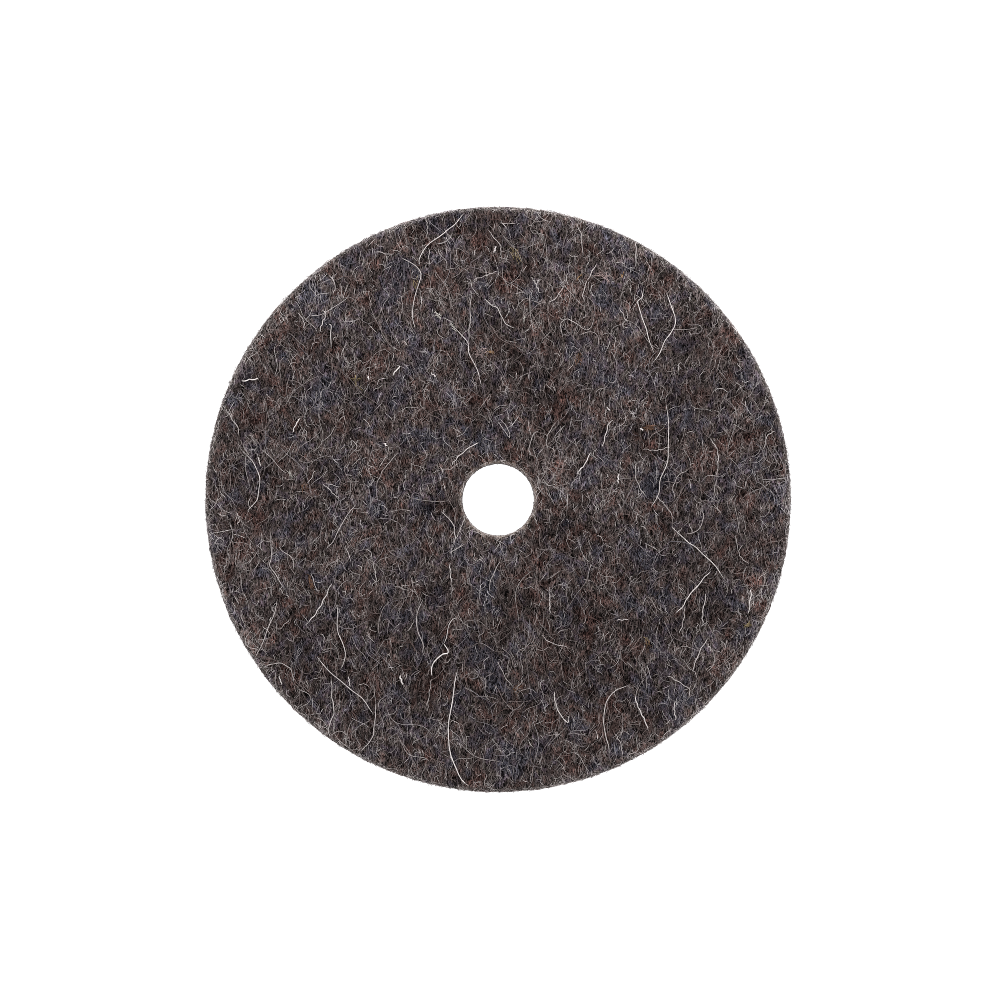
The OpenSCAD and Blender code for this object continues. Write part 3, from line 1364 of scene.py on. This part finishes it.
@dataclass
class Studio:
    """Camera, pale floor and soft light."""

    size: WheelSize
    lens: float = 240.0
    sensor: float = 36.0
    view_width: float = 173.8 * MM
    tilt: float = math.radians(0.4)
    aim_across: float = 0.33 * MM
    aim_up: float = -0.10 * MM
    clip: tuple[float, float] = (0.05, 50.0)
    floor_drop: float = 120 * MM
    floor_half: float = 8.0
    floor_white: float = 0.98
    floor_roughness: float = 0.9
    sky: float = 1.13
    key_power: float = 0.78
    key_size: tuple[float, float] = (0.34, 0.10)
    key_place: tuple[float, float, float] = (0.01, -0.12, 0.19)
    filter_width: float = 0.9

    def camera(self) -> None:
        """Puts the camera on a line that rises to the wheel's front by the tilt."""
        data = bpy.data.cameras.new("camera")
        data.lens, data.sensor_width = self.lens, self.sensor
        distance = self.view_width * self.lens / self.sensor
        look = Vector((0, math.cos(self.tilt), math.sin(self.tilt)))
        aim = Vector((self.aim_across, -self.size.half_thickness + self.size.rim_corner, self.aim_up))
        camera = bpy.data.objects.new("camera", data)
        camera.location = aim - look * distance
        camera.rotation_euler = look.to_track_quat("-Z", "Y").to_euler()
        data.clip_start, data.clip_end = self.clip
        bpy.context.scene.collection.objects.link(camera)
        bpy.context.scene.camera = camera

    def floor(self) -> None:
        """Lays a wide pale floor below the wheel."""
        half = self.floor_half
        corners = np.array([(-half, -half), (half, -half), (half, half), (-half, half)])
        points = np.column_stack([corners, np.full(len(corners), -self.floor_drop)])
        floor = make_mesh("studio_floor", points, np.arange(len(corners))[None])
        bench = NodeBench("pale_floor")
        bench.shader.inputs["Base Color"].default_value = (*grey(self.floor_white), 1)
        bench.shader.inputs["Roughness"].default_value = self.floor_roughness
        floor.data.materials.append(bench.material)

    def lights(self) -> None:
        """Hangs a soft lamp close above each face of the wheel, and fills the rest with an even white sky."""
        across, away, up = self.key_place
        for name, reach in (("front_softbox", away), ("back_softbox", -away)):
            lamp = bpy.data.lights.new(name, "AREA")
            lamp.shape, lamp.energy = "RECTANGLE", self.key_power
            lamp.size, lamp.size_y = self.key_size
            box = bpy.data.objects.new(name, lamp)
            box.location = (across, reach, up)
            box.visible_camera = False
            box.rotation_euler = (-box.location).to_track_quat("-Z", "Y").to_euler()
            bpy.context.scene.collection.objects.link(box)
        world = bpy.data.worlds.new("white_sky")
        world.use_nodes = True
        background = world.node_tree.nodes["Background"]
        background.inputs["Color"].default_value = (*grey(1), 1)
        background.inputs["Strength"].default_value = self.sky
        bpy.context.scene.world = world

    def picture(self) -> None:
        """Keeps the fine fibres crisp: plain tones, no denoising and a narrow filter."""
        scene = bpy.context.scene
        scene.view_settings.view_transform = "Standard"
        scene.cycles.use_denoising = False
        scene.cycles.filter_width = self.filter_width


def nap_layers(size: WheelSize) -> list[NapLayer]:
    """The layers of loose fibres, deepest first on each side.

    Args:
        size: Sizes of the wheel.

    Returns:
        The layers, in the order they are made.
    """
    layers = []
    # Each level's shade rises with its lift: the darker deep levels are painted shade under the fibres above.
    depths_with_painted_shade = (
        ("bottom", 0.02, 0.12),
        ("lower", 0.04, 0.20),
        ("middle", 0.07, 0.30),
        ("upper", 0.10, 0.38),
        ("top", 0.14, 0.44),
    )
    faces = ((Side.FRONT, depths_with_painted_shade, 10000, 100), (Side.BACK, depths_with_painted_shade[::2], 6000, 200))
    for side, levels, count, seed in faces:
        skin = Skin(size, side)
        for index, (level, lift, shade) in enumerate(levels):
            layers.append(NapLayer(f"{side.value}_nap_{level}", skin, seed + index, count=count,
                                   lift=lift * MM, shade=shade))
        layers.append(NapLayer(f"{side.value}_nap_pale", skin, seed + PALE_SEED_STEP, count=1300,
                               length=3.2 * MM, lift=0.2 * MM, shade=0.54, shade_spread=0.10, stations=8))
        layers.append(NapLayer(f"{side.value}_wisps", skin, seed + WISP_SEED_STEP, count=800,
                               length=6.0 * MM, bend=1.1, lean=0.5, lift=0.24 * MM, shade=0.53,
                               shade_spread=0.09, stations=13))
    rim, bore = Skin(size, Side.RIM), Skin(size, Side.BORE)
    layers.append(NapLayer("rim_nap", rim, 300, count=6800, length=2.2 * MM, heading=0.0, shade=0.40,
                           lift=0.05 * MM))
    layers.append(NapLayer("rim_nap_outer", rim, 301, count=2400, length=1.9 * MM, heading=0.0, shade=0.50,
                           lift=0.09 * MM))
    layers.append(NapLayer("bore_nap", bore, 310, count=2800, length=1.4 * MM, heading=0.0, shade=0.47,
                           lift=0.03 * MM))
    return layers


def main() -> None:
    """Builds the wheel's pieces in order, then the studio."""
    logging.basicConfig(level=logging.INFO, format="%(message)s")
    size = WheelSize.from_frame()
    front = Skin(size, Side.FRONT)
    wool = WoolFinish("loose_wool").build()
    FeltBody(size).build(GroundFinish().build())
    layers = nap_layers(size)
    # The cut ends' pale shades are partly painted light: the edges lit from the bright surroundings behind
    # them.
    ends = (
        Fuzz("rim_fuzz", Skin(size, Side.RIM), 400, count=7800, length=0.56 * MM, shade=0.68),
        Fuzz("bore_fuzz", Skin(size, Side.BORE), 401, count=2200, length=0.30 * MM, shade=0.70, dye=BORE_DYE),
    )
    LooseWool([source.fibres() for source in (*layers, *ends)]).build(wool)
    GuardHairs(front).build(wool)
    for bit in Bit:
        BitSet(front, bit).build()
    studio = Studio(size)
    studio.camera()
    studio.floor()
    studio.lights()
    studio.picture()


if __name__ == "__main__":
    main()
